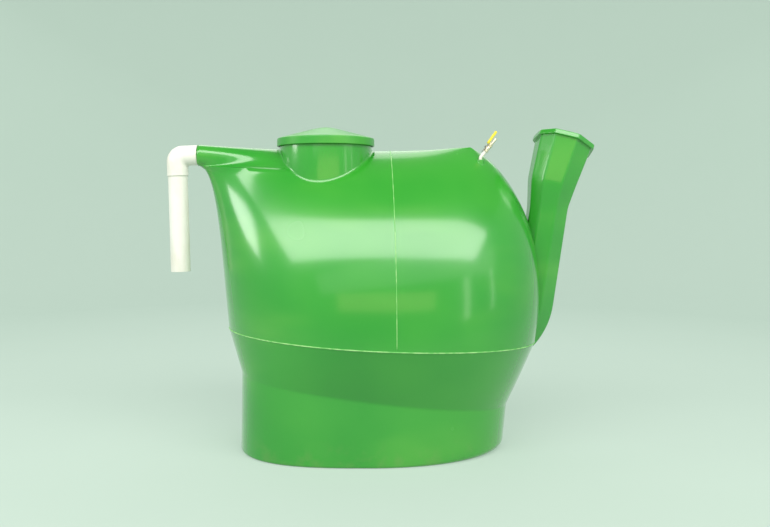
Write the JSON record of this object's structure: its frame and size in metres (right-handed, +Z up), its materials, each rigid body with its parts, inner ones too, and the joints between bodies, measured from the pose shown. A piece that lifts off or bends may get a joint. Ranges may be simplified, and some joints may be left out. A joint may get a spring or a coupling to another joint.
{
  "type": "household biogas digester",
  "caption": "Moulded plastic household biogas digester with flat foot, domed body, manhole with lift-off lid, feed funnel, slurry outlet pipe and gas valve.",
  "frame": {"origin": "on the underside of the flat floor, below the middle of the object's overall length", "axes": "+Z up; +X along the tank towards the feed funnel; +Y away from the side that carries the gas valve"},
  "size_m": [2.4114, 1.2476, 1.767],
  "materials": {
    "green_polyethylene": "glossy rotomoulded polyethylene, mid green",
    "white_pvc": "off-white semi-gloss pipe plastic",
    "valve_brass": "dull machined brass",
    "lever_steel": "dark plated steel",
    "yellow_vinyl": "soft yellow dipped vinyl"
  },
  "bodies": {
    "tank": {"base_floor": "green_polyethylene", "foot_wall_outlet_end": "green_polyethylene", "foot_wall_inlet_end": "green_polyethylene", "foot_wall_front": "green_polyethylene", "foot_wall_back": "green_polyethylene", "taper_band_outlet_end": "green_polyethylene", "taper_band_inlet_end": "green_polyethylene", "taper_band_front": "green_polyethylene", "taper_band_back": "green_polyethylene", "outlet_spout": "green_polyethylene", "dome_outlet_end_front": "green_polyethylene", "dome_outlet_end_back": "green_polyethylene", "dome_manhole_bay_front": "green_polyethylene", "dome_manhole_bay_back": "green_polyethylene", "dome_gas_bay_front": "green_polyethylene", "dome_gas_bay_back": "green_polyethylene", "dome_inlet_end_front": "green_polyethylene", "dome_inlet_end_back": "green_polyethylene", "seam_bead": "green_polyethylene", "vertical_seam_bead": "green_polyethylene", "manhole_neck": "green_polyethylene", "inlet_duct": "green_polyethylene", "inlet_funnel": "green_polyethylene", "inlet_rim": "green_polyethylene", "outlet_bend": "white_pvc", "outlet_drop_pipe": "white_pvc", "gas_boss": "green_polyethylene", "gas_riser": "white_pvc", "valve_body": "valve_brass", "hose_barb": "valve_brass", "valve_gland": "valve_brass"},
    "lid": {"manhole_lid": "green_polyethylene", "manhole_lid_skirt": "green_polyethylene"},
    "valve_handle": {"valve_lever": "lever_steel", "lever_sleeve": "yellow_vinyl", "lever_nut": "lever_steel"}
  },
  "joints": [
    {"name": "lid_lift", "type": "slide", "parent": "tank", "child": "lid", "axis": [0, 0, 1], "range_m": [0, 0.35]},
    {"name": "handle_turn", "type": "hinge", "parent": "tank", "child": "valve_handle", "pos_m": [0.58752, -0.07, 1.64128], "axis": [0.7694, 0, -0.6388], "range_deg": [0, 90]}
  ]
}
